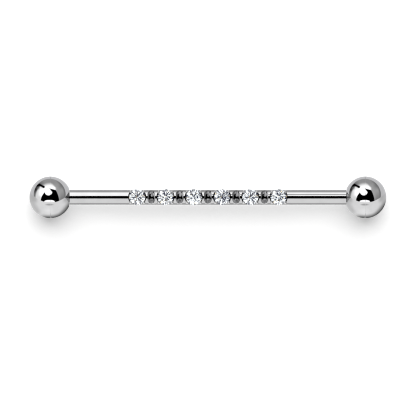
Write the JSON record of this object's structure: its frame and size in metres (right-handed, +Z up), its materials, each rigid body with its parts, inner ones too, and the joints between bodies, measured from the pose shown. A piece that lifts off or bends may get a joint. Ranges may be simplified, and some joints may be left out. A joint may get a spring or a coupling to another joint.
{
  "type": "industrial barbell",
  "caption": "Straight steel barbell with screw-on ball ends and a row of round clear stones sunk along the middle of one side, worn through two piercings of one ear.",
  "frame": {"origin": "on the surface that the barbell lies on, below the middle of its length", "axes": "+X along the barbell, +Z up, out of the row of stones, +Y across it"},
  "size_m": [0.0428, 0.005, 0.005],
  "materials": {
    "bar_steel": "mirror-polished surgical steel",
    "ball_steel": "mirror-polished surgical steel",
    "clear_stone": "cut and polished clear stone"
  },
  "bodies": {
    "bar": {"bar": "bar_steel", "stone_1": "clear_stone", "stone_2": "clear_stone", "stone_3": "clear_stone", "stone_4": "clear_stone", "stone_5": "clear_stone", "stone_6": "clear_stone"},
    "ball_left": {"ball_left": "ball_steel"},
    "ball_right": {"ball_right": "ball_steel"}
  },
  "joints": [
    {"name": "unscrew_left", "type": "slide", "parent": "bar", "child": "ball_left", "axis": [-1, 0, 0], "range_m": [0, 0.008]},
    {"name": "unscrew_right", "type": "slide", "parent": "bar", "child": "ball_right", "axis": [1, 0, 0], "range_m": [0, 0.008]}
  ]
}
